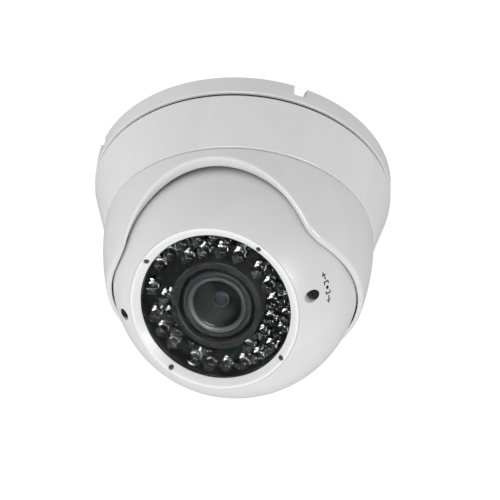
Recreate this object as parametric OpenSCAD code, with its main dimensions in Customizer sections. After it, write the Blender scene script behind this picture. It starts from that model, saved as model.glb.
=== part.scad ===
// Ceiling dome camera: a mounting base, a tapered housing, a turning shroud with a scooped front,
// and a ball that tilts in the shroud on two side pins. The origin is the centre of the ceiling
// face, +Z points up into the ceiling, and the camera looks towards -Y and down.

/* [Base] */
// Outer diameter of the mounting base
base_d = 120; // [118:0.5:124]
// Height of the base band
band_h = 8; // [7:0.5:9]
// Pitch circle of the ceiling screws
ceiling_pcd = 84; // [80:1:88]
// Clearance hole of a ceiling screw
ceiling_hole_d = 4.6; // [4:0.1:5.2]
// Width of a cable notch in the rim
notch_w = 5.2; // [4:0.1:7]
// Depth of a cable notch in the rim
notch_h = 4.8; // [3:0.1:5]
// Bore of the cable gland
gland_bore_d = 6.4; // [5:0.2:7]

/* [Housing] */
// Height of the dark groove between base and housing
seal_h = 1.2; // [0.8:0.1:1.4]
// Height of the tapered housing
housing_h = 20.7; // [20.4:0.1:21]
// Diameter of the housing at its lower edge
housing_low_d = 106.6; // [106.4:0.1:107]

/* [Ball] */
// Diameter of the ball
ball_d = 96; // [95.8:0.1:96.1]
// Distance of the ball centre below the ceiling
ball_drop = 47.5; // [47.2:0.1:48]
// Angle of the lens axis from straight down
aim_angle = 31; // [5:1:65]
// Least angle of the lens axis from straight down
aim_low = 5; // [0:1:10]
// Greatest angle of the lens axis from straight down
aim_high = 65; // [60:1:70]
// Turn of the window, lamps and adjusters about the lens axis
ball_clock = -4.7; // [-8:0.1:8]

/* [Shroud] */
// Depth of the shroud below the ball centre
shroud_skirt = 12; // [10:0.5:13]
// Height of the scoop's crown above the ball centre
scoop_top = 12.5; // [11:0.1:14]
// Turn of the scoop about the pan axis
scoop_turn = 8; // [0:1:12]

/* [Window] */
// Outer diameter of the bezel
bezel_d = 64; // [63:0.5:64.5]
// Clear diameter inside the bezel
window_d = 57; // [56.8:0.1:57.2]
// Diameter of one infrared lamp
led_d = 5; // [4.6:0.1:5]

/* [Lens drive] */
// Gear module of the focus and zoom drives
gear_m = 0.8; // [0.8:0.1:0.8]
// Teeth of the large rings
ring_teeth = 78; // [78:2:78]
// Teeth of the pinions
pinion_teeth = 13; // [13:2:13]

/* [Hidden] */
$fn = 96;
eps = 0.01;

white = [0.93, 0.93, 0.92];
black = [0.06, 0.06, 0.065];
rubber = [0.09, 0.09, 0.09];
steel = [0.72, 0.72, 0.74];
board_green = [0.05, 0.25, 0.12];
clear = [0.85, 0.92, 0.95, 0.5];

base_r = base_d / 2;
spigot_r = 53.8;
floor_t = 2.8;
gland_r = 38;
gland_turn = 132;
pocket_d = 4;
pocket_low = -pocket_d - floor_t;
housing_top = -band_h - seal_h;
housing_low = housing_top - housing_h;
housing_low_r = housing_low_d / 2;
neck_clear_r = 51.7;
shelf_z = -20.2;
lock_z = -12.2;
glide_t = 0.5;
flange_low = shelf_z + glide_t + 0.05;
flange_t = 2;
flange_r = 54.4;
circlip_z = flange_low + flange_t + 0.2;
circlip_t = 1.2;
bayonet_turns = [30, 150, 270];
notch_turns = [42, 132, 222, 312];

ball_r = ball_d / 2;
shell_t = 3;
inner_r = ball_r - shell_t;
shroud_top = housing_low - 0.3;
shroud_r = housing_low_r - 0.1;
shroud_arc_r = 103;
shroud_low = -ball_drop - shroud_skirt;
socket_r = ball_r + 0.6;
pocket_x = 49.6;
neck_r = 51.4;

scoop_r = 39.4;
scoop_z = scoop_top - scoop_r;
scoop_heel_r = 6.9;
scoop_heel_z = scoop_heel_r - shroud_skirt + 0.07;
scoop_heel_x = sqrt(pow(scoop_r + scoop_heel_r, 2) - pow(scoop_heel_z - scoop_z, 2));
scoop_heel_turn = atan2(scoop_heel_z - scoop_z, scoop_heel_x);

pin_r = 2.5;
pin_end_x = 51.2;
trim_r = ball_drop - floor_t - 0.9;
seam_n = -2.4;
ball_seal_t = 0.6;
boss_x = 42.8;

seat_n = 31.1;
glass_low_n = 31.6;
glass_t = 1.6;
glass_r = 29.2;
glass_top_n = glass_low_n + glass_t;
window_r = window_d / 2;
window_edge_n = 33.9;
bezel_r = bezel_d / 2;
bezel_edge_n = sqrt(ball_r * ball_r - bezel_r * bezel_r) - 0.1;
bezel_screw_r = 30.35;
collar_low_n = 26.5;
collar_out_r = 35;
ledge_r = 28.2;

led_top_n = 30.9;
board_front_n = 22.2;
board_t = 1.6;
board_back_n = board_front_n - board_t;
led_r = led_d / 2;
outer_led_ring_r = 25.4;
inner_led_ring_r = 20.2;
outer_led_groups = [[237, 6], [327, 5], [67, 6], [161, 1], [186, 3]];
outer_led_pitch = 14.3;
inner_led_groups = [[56, 4], [315, 5], [293, 1], [247, 1], [170, 4]];
inner_led_pitch = 18.9;
sensor_turn = 270;
shell_boss_turns = [40, 140, 220, 320];
post_turns = [22.5, 112.5, 202.5, 292.5];

spindle_x = gear_m * (ring_teeth + pinion_teeth) / 2;
spindle_r = 1.5;
frame_n = -5.6;
frame_t = 1.6;
frame_top_n = frame_n + frame_t;
barrel_r = 13.5;
ring_bore_r = barrel_r + 0.06;
ring_out_r = 15.6;
focus_gear_n = 11.5;
zoom_gear_n = 4;
gear_t = 2;
cell_r = 11.54;
cell_tip_n = 30.6;
sensor_board_n = -17.1;
main_board_n = -25.6;

// ---- helpers -------------------------------------------------------------------------------

// Turns children from the ball's own axes (+Z along the lens axis) into the part's axes.
module tilted() {
    translate([0, 0, -ball_drop]) rotate([180 - aim_angle, 0, 0]) children();
}

// Points +Z of the children sideways along +X and along -X.
module on_sides() {
    for (side = [0, 180]) rotate([0, 0, side]) rotate([0, 90, 0]) children();
}

module in_ball() {
    tilted() rotate([0, 0, ball_clock]) children();
}

// Puts a copy of the children on a circle at each of the given turns.
module on_circle(r, turns) {
    for (turn = turns) rotate([0, 0, turn]) translate([r, 0, 0]) children();
}

module tube(r_out, r_in, z0, z1) {
    translate([0, 0, z0]) difference() {
        cylinder(r = r_out, h = z1 - z0);
        translate([0, 0, -1]) cylinder(r = r_in, h = z1 - z0 + 2);
    }
}

module rod(r, z0, z1) {
    translate([0, 0, z0]) cylinder(r = r, h = z1 - z0);
}

module slab(w, d, z0, z1) {
    translate([-w / 2, -d / 2, z0]) cube([w, d, z1 - z0]);
}

module pan_head_screw(head_r, head_h, shank_r, length, slot_w) {
    difference() {
        union() {
            rod(head_r, 0, head_h);
            rod(shank_r, -length, eps);
        }
        slab(slot_w, head_r * 1.3, head_h / 2, head_h + 1);
        slab(head_r * 1.3, slot_w, head_h / 2, head_h + 1);
    }
}

function arc(cx, cz, r, from, to, steps) =
    [for (i = [0:steps]) let(a = from + (to - from) * i / steps) [cx + r * cos(a), cz + r * sin(a)]];

// Outline of a spur gear with straight flanks, thinned for running clearance.
function tooth(centre, r_root, r_tip, w_root, w_tip) = [
    for (p = [[r_root, -w_root], [r_tip, -w_tip], [r_tip, w_tip], [r_root, w_root]])
        [p[0] * cos(centre + p[1]), p[0] * sin(centre + p[1])]];

function gear_outline(teeth, m) =
    let(rp = m * teeth / 2, r_root = rp - 1.15 * m, r_tip = rp + 0.85 * m, half = 0.185 * m * PI,
        w_root = (half + 1.15 * m * tan(20)) / r_root * 180 / PI,
        w_tip = (half - 0.85 * m * tan(20)) / r_tip * 180 / PI)
    [for (i = [0:teeth - 1]) each tooth(360 * i / teeth, r_root, r_tip, w_root, w_tip)];

// ---- base ----------------------------------------------------------------------------------

module mounting_base() {
    color(white) difference() {
        union() {
            tube(base_r, spigot_r, -band_h, 0);
            rod(spigot_r + eps, -floor_t, 0);
            tube(spigot_r + 2, spigot_r, -band_h - 6.5, -band_h + eps);
            on_circle(ceiling_pcd / 2, [90, 210, 330]) rod(6.5, -5, -floor_t + eps);
            on_circle(gland_r, [gland_turn]) rod(11.4, pocket_low, -floor_t + eps);
            rotate([0, 0, gland_turn])
                translate([gland_r, -notch_w / 2 - 1.6, pocket_low]) cube([17, notch_w + 3.2, 4.2]);
        }
        on_circle(ceiling_pcd / 2, [90, 210, 330]) {
            rod(ceiling_hole_d / 2, -band_h - 1, 1);
            rod(4.5, -band_h - 1, -3.2);
        }
        on_circle(gland_r, [gland_turn]) {
            rod(6.05, -band_h - 1, 1);
            rod(9.8, -pocket_d, 1);
        }
        tube(59, 57.4, -0.8, 1);
        tube(36, 22, -0.8, 1);
        for (turn = notch_turns) rotate([0, 0, turn - 90])
            translate([spigot_r - 3, -notch_w / 2, -notch_h]) cube([12, notch_w, notch_h + 1]);
        rotate([0, 0, gland_turn])
            translate([gland_r, -notch_w / 2, -notch_h]) cube([30, notch_w, notch_h + 1]);
        for (turn = bayonet_turns) rotate([0, 0, turn]) {
            translate([50, 0, -band_h - 7]) cube([8, 12, 4.5]);
            translate([50, -12, -band_h - 4.9]) cube([8, 12 + eps, 2.4]);
        }
    }
}

module ceiling_gasket() {
    color(rubber) difference() {
        tube(59, 57.4, -0.8, 0);
        for (turn = notch_turns) rotate([0, 0, turn - 90])
            translate([base_r - 6, -notch_w / 2, -2]) cube([12, notch_w, 4]);
    }
}

module cable_gland() {
    color(black) on_circle(gland_r, [gland_turn]) difference() {
        union() {
            rod(8.8, pocket_low - 1.6, pocket_low);
            rod(6, pocket_low - eps, -0.8);
        }
        rod(gland_bore_d / 2, pocket_low - 2, 0);
    }
}

module gland_nut() {
    color(black) on_circle(gland_r, [gland_turn]) difference() {
        translate([0, 0, -pocket_d]) cylinder(r = 8.6, h = 3, $fn = 6);
        rod(6.02, -pocket_d - 1, 0);
    }
}

// ---- housing and pan bearing ------------------------------------------------------------------

module housing() {
    color(white) difference() {
        union() {
            rotate_extrude() polygon([
                [neck_clear_r, housing_low + 0.6], [neck_clear_r + 0.4, housing_low],
                [housing_low_r - 0.6, housing_low], [housing_low_r, housing_low + 0.7],
                [base_r - 0.3, housing_top - 0.4], [base_r - 0.7, housing_top], [57, housing_top],
                [56.2, housing_top - 4], [56.2, circlip_z + circlip_t], [56.1, circlip_z + circlip_t],
                [56.1, circlip_z], [54.8, circlip_z], [54.8, shelf_z], [neck_clear_r, shelf_z]]);
            for (turn = bayonet_turns) intersection() {
                tube(57, 54.4, housing_top - 3.4, housing_top - 1.8);
                rotate([0, 0, turn]) translate([50, -10.5, -40]) cube([10, 9, 60]);
            }
        }
        translate([0, 50, lock_z]) rotate([-90, 0, 0]) rod(1.5, 0, 20);
    }
}

module housing_seal() {
    color(rubber) tube(58.8, 57, housing_top, -band_h);
}

module lock_screw() {
    color(steel) translate([0, 0, lock_z]) rotate([-90, 0, 0]) difference() {
        rod(1.48, spigot_r + 2.05, 58.2);
        translate([0, 0, 57]) cylinder(r = 0.85, h = 2, $fn = 6);
    }
}

module pan_glide_ring() {
    color([0.9, 0.88, 0.8]) tube(54.6, 51.9, shelf_z, shelf_z + glide_t);
}

module pan_circlip() {
    color(steel) difference() {
        tube(56.05, 52.6, circlip_z, circlip_z + circlip_t);
        translate([-4, -60, -40]) cube([8, 10, 60]);
        on_circle(54.2, [-96, -84]) rod(0.8, -40, 0);
    }
}

// ---- pan shroud --------------------------------------------------------------------------------

function shroud_outer(z) = shroud_r - shroud_arc_r
    + sqrt(shroud_arc_r * shroud_arc_r - (z - shroud_top) * (z - shroud_top));

module scoop_profile() {
    right = concat(
        arc(scoop_heel_x, scoop_heel_z, scoop_heel_r, 270, 180 + scoop_heel_turn, 10),
        arc(0, scoop_z, scoop_r, scoop_heel_turn + 2.5, 90, 24));
    left = [for (i = [len(right) - 2:-1:0]) [-right[i][0], right[i][1]]];
    polygon(concat([[scoop_heel_x, -30]], right, left, [[-scoop_heel_x, -30]]));
}

module pan_shroud() {
    steps = 14;
    skin = [for (i = [0:steps]) let(z = shroud_top + (shroud_low - shroud_top) * i / steps)
        [shroud_outer(z), z]];
    color(white) difference() {
        rotate_extrude() polygon(concat(
            [[40, shroud_low], [40, flange_low + flange_t], [flange_r, flange_low + flange_t],
             [flange_r, flange_low], [neck_r, flange_low], [neck_r, shroud_top]], skin));
        translate([0, 0, -ball_drop]) {
            sphere(r = socket_r);
            rod(socket_r, 0, 60);
            on_sides() {
                rod(6.5, 40, pocket_x);
                rod(pin_r, 40, pin_end_x);
            }
            rotate([0, 0, scoop_turn]) rotate([90, 0, 0]) linear_extrude(70) scoop_profile();
        }
    }
}

module tilt_pins() {
    color(steel) translate([0, 0, -ball_drop]) on_sides() rod(pin_r, 44.4, pin_end_x);
}

module tilt_washers() {
    color([0.9, 0.88, 0.8]) translate([0, 0, -ball_drop]) on_sides()
        tube(6.2, pin_r + 0.02, ball_r + 0.1, pocket_x);
}

// ---- ball shells -------------------------------------------------------------------------------

// The ball's envelope: a sphere, flattened where it passes under the base.
module ball_envelope(r, trim) {
    up = [for (i = [0:12]) let(a = aim_low + (aim_high - aim_low) * i / 12)
        [trim * sin(a), -trim * cos(a)]];
    low_end = [up[0][0] - 90 * cos(aim_low), up[0][1] - 90 * sin(aim_low)];
    high_end = [up[12][0] + 90 * cos(aim_high), up[12][1] + 90 * sin(aim_high)];
    intersection() {
        sphere(r = r);
        rotate([90, 0, 90]) linear_extrude(120, center = true)
            polygon(concat([[-90, 90], low_end], up, [high_end, [90, 90]]));
    }
}

// The hollow ball between two levels; the children are bosses left standing in the hollow.
module ball_shell(z0, z1) {
    difference() {
        intersection() {
            ball_envelope(ball_r, trim_r);
            slab(120, 120, z0, z1);
        }
        difference() {
            ball_envelope(inner_r, trim_r - shell_t);
            children();
        }
    }
}

module ball_front_shell() {
    color(white) tilted() difference() {
        ball_shell(seam_n, 60) {
            rotate([0, 0, ball_clock]) {
                tube(collar_out_r, ledge_r, collar_low_n, 60);
                on_circle(40.5, shell_boss_turns) rod(3.2, seam_n - 5, 60);
                on_circle(37, [90, 270]) rod(3.2, frame_top_n, 60);
                on_circle(30.8, post_turns) rod(1.8, board_front_n, collar_low_n + 1);
            }
            on_sides() rod(7, boss_x, 60);
        }
        rotate([0, 0, ball_clock]) {
            rod(ledge_r, 20, 60);
            rod(glass_r + 0.1, seat_n, 60);
            rod(bezel_r + 0.05, glass_top_n, 60);
            on_circle(spindle_x, [0, 180]) rod(2.25, 10, 60);
            on_circle(40.5, shell_boss_turns) rod(1.25, seam_n - 1, 12);
            on_circle(37, [90, 270]) rod(1, frame_top_n - 1, 6);
            on_circle(30.8, post_turns) rod(0.9, board_front_n - 1, 28);
            on_circle(bezel_screw_r, [45, 135, 225, 315]) rod(0.7, 27.6, 60);
        }
        on_sides() rod(4.2, 30, 60);
    }
}

module ball_rear_shell() {
    color(white) tilted() difference() {
        ball_shell(-60, seam_n - ball_seal_t) {
            rotate([0, 0, ball_clock]) on_circle(40.5, shell_boss_turns) rod(3.6, -27, 5);
            on_sides() rod(7, boss_x, 60);
        }
        rotate([0, 0, ball_clock]) on_circle(40.5, shell_boss_turns) {
            rod(1.4, -60, 0);
            rod(2.6, -60, -17);
        }
        on_sides() rod(4.2, 30, 60);
        rod(5, -60, -30);
    }
}

module tilt_bushes() {
    color([0.9, 0.88, 0.8]) tilted() on_sides() tube(4.18, pin_r + 0.05, boss_x + 0.2, 47.4);
}

module rear_grommet() {
    color(rubber) tilted() difference() {
        union() {
            rod(4.98, -trim_r + 0.4, -trim_r + shell_t + 0.6);
            rod(6.8, -trim_r + shell_t + 0.6, -trim_r + shell_t + 1.8);
        }
        rod(2.6, -60, -30);
    }
}

module ball_seal() {
    color(rubber) tilted() difference() {
        tube(47, 45.2, seam_n - ball_seal_t, seam_n);
        on_sides() rod(4.4, 30, 60);
    }
}

module shell_screws() {
    color(steel) in_ball() on_circle(40.5, shell_boss_turns)
        translate([0, 0, -17]) rotate([180, 0, 0]) pan_head_screw(2.4, 1.8, 1.24, 27, 0.6);
}

// ---- window ------------------------------------------------------------------------------------

module window_bezel() {
    color(white) in_ball() difference() {
        rotate_extrude() polygon([
            [window_r, glass_top_n], [bezel_r, glass_top_n], [bezel_r, bezel_edge_n - 0.5],
            [bezel_r - 0.5, bezel_edge_n], [bezel_r - 1.2, bezel_edge_n],
            [window_r + 0.5, window_edge_n], [window_r, window_edge_n - 0.4]]);
        on_circle(bezel_screw_r, [45, 135, 225, 315]) {
            rod(0.75, 20, 60);
            rod(1, glass_top_n + 0.8, 60);
        }
    }
}

module bezel_screws() {
    color([0.2, 0.2, 0.21]) in_ball() on_circle(bezel_screw_r, [45, 135, 225, 315]) difference() {
        union() {
            rod(0.7, 28, glass_top_n + 0.8 + eps);
            rod(0.98, glass_top_n + 0.8, glass_top_n + 1.7);
        }
        translate([0, 0, glass_top_n + 1.2]) cylinder(r = 0.5, h = 2, $fn = 6);
    }
}

module window_glass() {
    color(clear) in_ball() rod(glass_r, glass_low_n, glass_top_n);
}

module window_gasket() {
    color(rubber) in_ball() tube(glass_r, ledge_r + 0.1, seat_n, glass_low_n);
}

module spindle_bushes() {
    color(black) in_ball() on_circle(spindle_x, [0, 180]) tube(2.24, spindle_r + 0.05, 27, 28.6);
}

// ---- lamp board --------------------------------------------------------------------------------

module led_board() {
    color(black) in_ball() difference() {
        tube(33, 15.6, board_back_n, board_front_n);
        on_circle(30.8, post_turns) rod(1.1, 10, 30);
    }
}

module led_board_screws() {
    color(steel) in_ball() on_circle(30.8, post_turns)
        translate([0, 0, board_back_n]) rotate([180, 0, 0]) pan_head_screw(1.8, 1.2, 0.88, 6, 0.5);
}

function lamp_turns(groups, pitch) = [for (g = groups) for (i = [0:g[1] - 1]) g[0] + i * pitch];

module lamp() {
    rod(led_r, board_front_n, led_top_n - led_r);
    translate([0, 0, led_top_n - led_r]) sphere(r = led_r, $fn = 32);
}

module outer_ir_leds() {
    color(clear) in_ball() on_circle(outer_led_ring_r, lamp_turns(outer_led_groups, outer_led_pitch))
        lamp();
}

module inner_ir_leds() {
    color(clear) in_ball() on_circle(inner_led_ring_r, lamp_turns(inner_led_groups, inner_led_pitch))
        lamp();
}

module light_sensor() {
    color([0.1, 0.35, 0.3]) in_ball() on_circle(inner_led_ring_r, [sensor_turn]) {
        rod(2.3, board_front_n, board_front_n + 2.4);
        slab(2.6, 2.6, board_front_n + 2.4 - eps, board_front_n + 3);
    }
}

module lens_hood() {
    color(rubber) in_ball() rotate_extrude() polygon([
        [14.5, board_front_n], [16.6, board_front_n], [16.6, board_front_n + 2.4], [17.2, glass_low_n],
        [14.6, glass_low_n], [14.5, glass_low_n - 2.3]]);
}

// ---- fixed lens parts and electronics -----------------------------------------------------------

module lens_barrel() {
    color(black) in_ball() difference() {
        union() {
            rod(barrel_r, frame_top_n, 21.5);
            rod(17, frame_top_n, frame_top_n + 2.5);
        }
        rod(11.6, -2, 30);
        rod(8, -10, 30);
        on_circle(15.2, [30, 150, 270]) rod(0.8, -10, 5);
    }
}

module rear_element() {
    color(clear) in_ball() rod(7.98, frame_top_n + 0.2, -2.4);
}

module module_frame() {
    color([0.55, 0.56, 0.58]) in_ball() difference() {
        union() {
            rod(28, frame_n, frame_top_n);
            for (turn = [0, 90, 180, 270]) rotate([0, 0, turn])
                translate([20, -5, frame_n]) cube([20, 10, frame_t]);
        }
        rod(11, -10, 0);
        on_circle(37, [90, 270]) rod(1.1, -10, 0);
        on_circle(spindle_x, [0, 180]) rod(spindle_r + 0.05, -10, 0);
        on_circle(21.5, [20, 70, 110, 160, 200, 250, 290, 340]) rod(2.6, -10, 0);
        on_circle(15.2, [30, 150, 270]) rod(0.9, -10, 0);
        for (x = [-15.5, 15.5]) for (y = [-15.5, 15.5]) translate([x, y, 0]) rod(1.05, -10, 0);
    }
}

module frame_screws() {
    color(steel) in_ball() {
        on_circle(37, [90, 270]) translate([0, 0, frame_n]) rotate([180, 0, 0])
            pan_head_screw(2, 1.4, 0.98, 9, 0.5);
        on_circle(15.2, [30, 150, 270]) translate([0, 0, frame_n]) rotate([180, 0, 0])
            pan_head_screw(1.4, 1, 0.78, 4, 0.4);
    }
}

module lens_mount() {
    color(black) in_ball() difference() {
        union() {
            tube(13.2, 10, sensor_board_n + board_t, frame_n);
            slab(18, 18, -12.6, -11.8);
        }
        slab(10, 10, -14, -10);
        slab(12, 12, -12.2, -10);
    }
}

module ir_cut_filter() {
    color([0.5, 0.2, 0.25, 0.5]) in_ball() slab(11.9, 11.9, -12.2, -11.5);
}

module image_sensor() {
    color([0.15, 0.15, 0.18]) in_ball() slab(9, 9, sensor_board_n + board_t, -14.2);
}

module square_board(w, n) {
    difference() {
        slab(w, w, n, n + board_t);
        for (x = [-15.5, 15.5]) for (y = [-15.5, 15.5]) translate([x, y, 0]) rod(1.05, -40, 0);
    }
}

module corner_tubes(z0, z1) {
    for (x = [-15.5, 15.5]) for (y = [-15.5, 15.5]) translate([x, y, 0]) tube(2.2, 1.05, z0, z1);
}

module sensor_board() {
    color(board_green) in_ball() square_board(38, sensor_board_n);
}

module sensor_spacers() {
    color([0.8, 0.7, 0.4]) in_ball() corner_tubes(sensor_board_n + board_t, frame_n);
}

module main_board() {
    color(board_green) in_ball() square_board(40, main_board_n);
}

module board_spacers() {
    color([0.8, 0.7, 0.4]) in_ball() corner_tubes(main_board_n + board_t, sensor_board_n);
}

module board_screws() {
    color(steel) in_ball() for (x = [-15.5, 15.5]) for (y = [-15.5, 15.5])
        translate([x, y, main_board_n]) rotate([180, 0, 0]) pan_head_screw(1.9, 1.4, 1, 21.4, 0.5);
}

module board_chips() {
    color([0.08, 0.08, 0.09]) in_ball() {
        translate([3, 2, 0]) slab(12, 12, main_board_n + board_t, main_board_n + board_t + 1.2);
        translate([-10, 8, 0]) slab(5, 6, main_board_n + board_t, main_board_n + board_t + 1);
        translate([-9, -6, 0]) slab(6, 4, main_board_n + board_t, main_board_n + board_t + 1.6);
        translate([10, -11, 0]) rod(2.5, main_board_n + board_t, main_board_n + board_t + 4.6);
        translate([2, -11, 0]) rod(2, main_board_n + board_t, main_board_n + board_t + 4.6);
    }
}

module board_connectors() {
    color([0.93, 0.92, 0.86]) in_ball() for (y = [-13, 13]) translate([0, y, 0]) difference() {
        slab(12, 4.5, main_board_n - 2.8, main_board_n);
        slab(10, 3, main_board_n - 4, main_board_n - 0.8);
    }
}

// ---- focus and zoom drive -----------------------------------------------------------------------

// A lens ring with its large gear, running on the barrel.
module drive_ring(z0, z1, gear_n) {
    difference() {
        union() {
            rod(ring_out_r, z0, z1);
            translate([0, 0, gear_n]) rotate([0, 0, 180 / ring_teeth])
                linear_extrude(gear_t) polygon(gear_outline(ring_teeth, gear_m));
        }
        rod(ring_bore_r, z0 - 1, z1 + 1);
        on_circle(22.8, [0:60:300]) rod(4.2, gear_n - 1, gear_n + gear_t + 1);
    }
}

// An adjuster spindle with its pinion, slotted at the outer end for a small screwdriver.
module drive_spindle(side, gear_n) {
    rotate([0, 0, side]) translate([spindle_x, 0, 0]) difference() {
        union() {
            rod(spindle_r, frame_n, 29.4);
            translate([0, 0, gear_n - 0.3]) rotate([0, 0, 180])
                linear_extrude(gear_t + 0.6) polygon(gear_outline(pinion_teeth, gear_m));
        }
        slab(0.7, 4, 28.6, 30);
    }
}

module focus_ring() {
    color([0.16, 0.16, 0.17]) in_ball() drive_ring(9.5, 17, focus_gear_n);
}

module focus_spindle() {
    color([0.85, 0.83, 0.78]) in_ball() drive_spindle(0, focus_gear_n);
}

module zoom_ring() {
    color([0.16, 0.16, 0.17]) in_ball() drive_ring(1, 8.5, zoom_gear_n);
}

module zoom_spindle() {
    color([0.85, 0.83, 0.78]) in_ball() drive_spindle(180, zoom_gear_n);
}

module front_cell() {
    color(black) in_ball() difference() {
        union() {
            rod(13.1, 23, cell_tip_n - 0.4);
            rod(cell_r, 14, 23 + eps);
            rod(12.4, cell_tip_n - 0.5, cell_tip_n);
        }
        rod(9.8, 10, 60);
        rod(10.9, cell_tip_n - 4, 60);
    }
}

module front_cell_ring() {
    color([0.12, 0.12, 0.125]) in_ball() difference() {
        tube(10.88, 9.3, cell_tip_n - 1.4, cell_tip_n);
        on_circle(10.1, [70, 250]) rod(0.35, cell_tip_n - 0.8, 60);
    }
}

module front_element() {
    color([0.05, 0.09, 0.08, 0.6]) in_ball() union() {
        intersection() {
            rod(9.28, cell_tip_n - 4, 60);
            translate([0, 0, cell_tip_n - 31.2]) sphere(r = 31);
        }
        rod(10.8, cell_tip_n - 4, cell_tip_n - 1.4);
    }
}

module zoom_cell() {
    color([0.2, 0.2, 0.21]) in_ball() difference() {
        rod(cell_r, 1.6, 8.4);
        rod(8.6, 0, 5);
        rod(7.6, 0, 12);
    }
}

module zoom_element() {
    color(clear) in_ball() intersection() {
        rod(8.58, 1.8, 5);
        translate([0, 0, 22]) sphere(r = 20.2);
    }
}

mounting_base();
ceiling_gasket();
cable_gland();
gland_nut();
housing();
housing_seal();
lock_screw();
pan_glide_ring();
pan_circlip();
pan_shroud();
tilt_pins();
tilt_washers();
tilt_bushes();
rear_grommet();
ball_front_shell();
ball_rear_shell();
ball_seal();
shell_screws();
window_bezel();
bezel_screws();
window_glass();
window_gasket();
spindle_bushes();
led_board();
led_board_screws();
outer_ir_leds();
inner_ir_leds();
light_sensor();
lens_hood();
lens_barrel();
rear_element();
module_frame();
frame_screws();
lens_mount();
ir_cut_filter();
image_sensor();
sensor_board();
sensor_spacers();
main_board();
board_spacers();
board_screws();
board_chips();
board_connectors();
focus_ring();
focus_spindle();
front_cell();
front_cell_ring();
front_element();
zoom_ring();
zoom_spindle();
zoom_cell();
zoom_element();
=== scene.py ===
"""Looks of a ceiling dome camera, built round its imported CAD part.

The visible skins, the window group and the lamps are made here as smooth numpy meshes, and every
CAD node that stays in view gets its own procedural finish.
"""

import logging
import math
from dataclasses import dataclass
from enum import Enum
from typing import Callable, Sequence

import bmesh
import bpy
import numpy as np
from mathutils import Matrix, Vector


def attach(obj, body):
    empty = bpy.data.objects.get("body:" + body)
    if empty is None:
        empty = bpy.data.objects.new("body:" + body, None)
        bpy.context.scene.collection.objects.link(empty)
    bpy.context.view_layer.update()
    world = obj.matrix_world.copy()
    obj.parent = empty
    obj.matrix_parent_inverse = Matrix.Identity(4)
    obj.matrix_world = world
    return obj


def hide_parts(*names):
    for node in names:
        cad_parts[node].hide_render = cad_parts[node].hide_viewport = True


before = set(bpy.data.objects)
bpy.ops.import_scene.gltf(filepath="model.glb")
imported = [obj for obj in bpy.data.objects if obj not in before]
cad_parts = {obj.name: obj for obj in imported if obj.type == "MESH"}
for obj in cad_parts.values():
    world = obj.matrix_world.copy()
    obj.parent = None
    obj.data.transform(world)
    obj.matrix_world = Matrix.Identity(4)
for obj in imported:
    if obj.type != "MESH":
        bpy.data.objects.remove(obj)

LOG = logging.getLogger("dome_camera")
MM = 0.001
Array = np.ndarray


class Pattern(Enum):
    """What a finish draws on top of its plain colour."""

    PLAIN = "plain"
    BOARD = "board"
    BRUSHED = "brushed"


@dataclass(frozen=True)
class Finish:
    """A surface finish.

    Attributes:
        colour: Base colour, linear.
        rough: Roughness.
        metal: Metallic share.
        clear: Transmission share.
        ior: Index of refraction.
        coat: Clear coat weight.
        grain: Size of the fine surface grain in millimetres.
        relief: Height of that grain in millimetres.
        mottle: How far the colour wanders over a few millimetres.
        pattern: Extra pattern.
    """

    colour: tuple[float, float, float]
    rough: float = 0.4
    metal: float = 0.0
    clear: float = 0.0
    ior: float = 1.5
    coat: float = 0.0
    grain: float = 0.25
    relief: float = 0.004
    mottle: float = 0.03
    pattern: Pattern = Pattern.PLAIN


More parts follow.
